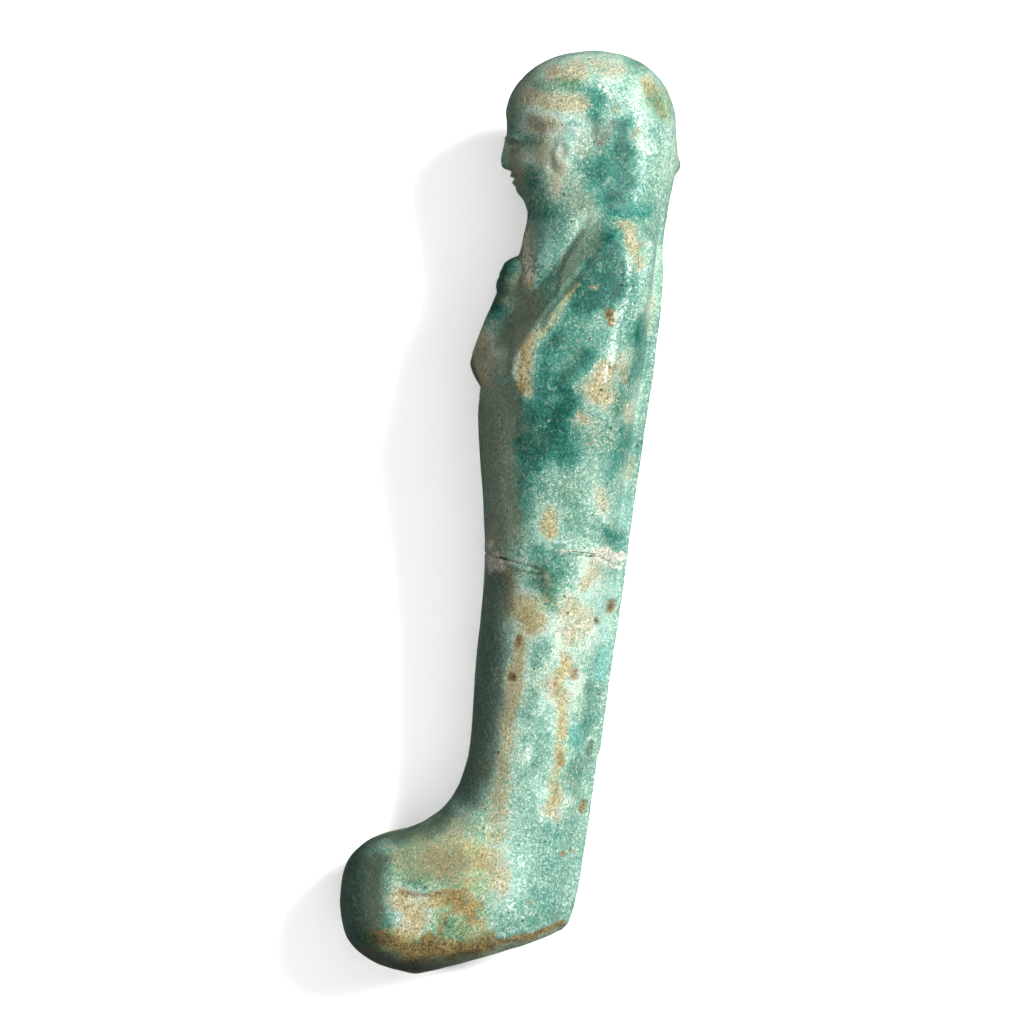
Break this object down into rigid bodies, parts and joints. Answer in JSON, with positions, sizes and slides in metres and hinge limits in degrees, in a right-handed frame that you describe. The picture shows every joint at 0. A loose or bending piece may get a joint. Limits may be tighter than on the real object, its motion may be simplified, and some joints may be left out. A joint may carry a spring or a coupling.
{
  "type": "ushabti figurine",
  "caption": "Small mummy-shaped funerary figurine with a long wig, crossed arms, a back pillar and feet that jut forward, in worn turquoise faience, broken below the waist and mended.",
  "frame": {"origin": "centre of the bounding box in X and Y, on the surface that the figure lies on in Z", "axes": "the figure lies on its right side: crown towards -X, feet towards +X, face towards -Y, back pillar towards +Y, its own left side up towards +Z"},
  "size_m": [0.1122, 0.0284, 0.0293],
  "materials": {
    "faience": "worn, grainy turquoise glaze over a pale quartz core"
  },
  "bodies": {
    "root": {"ushabti_figure": "faience"}
  },
  "joints": []
}
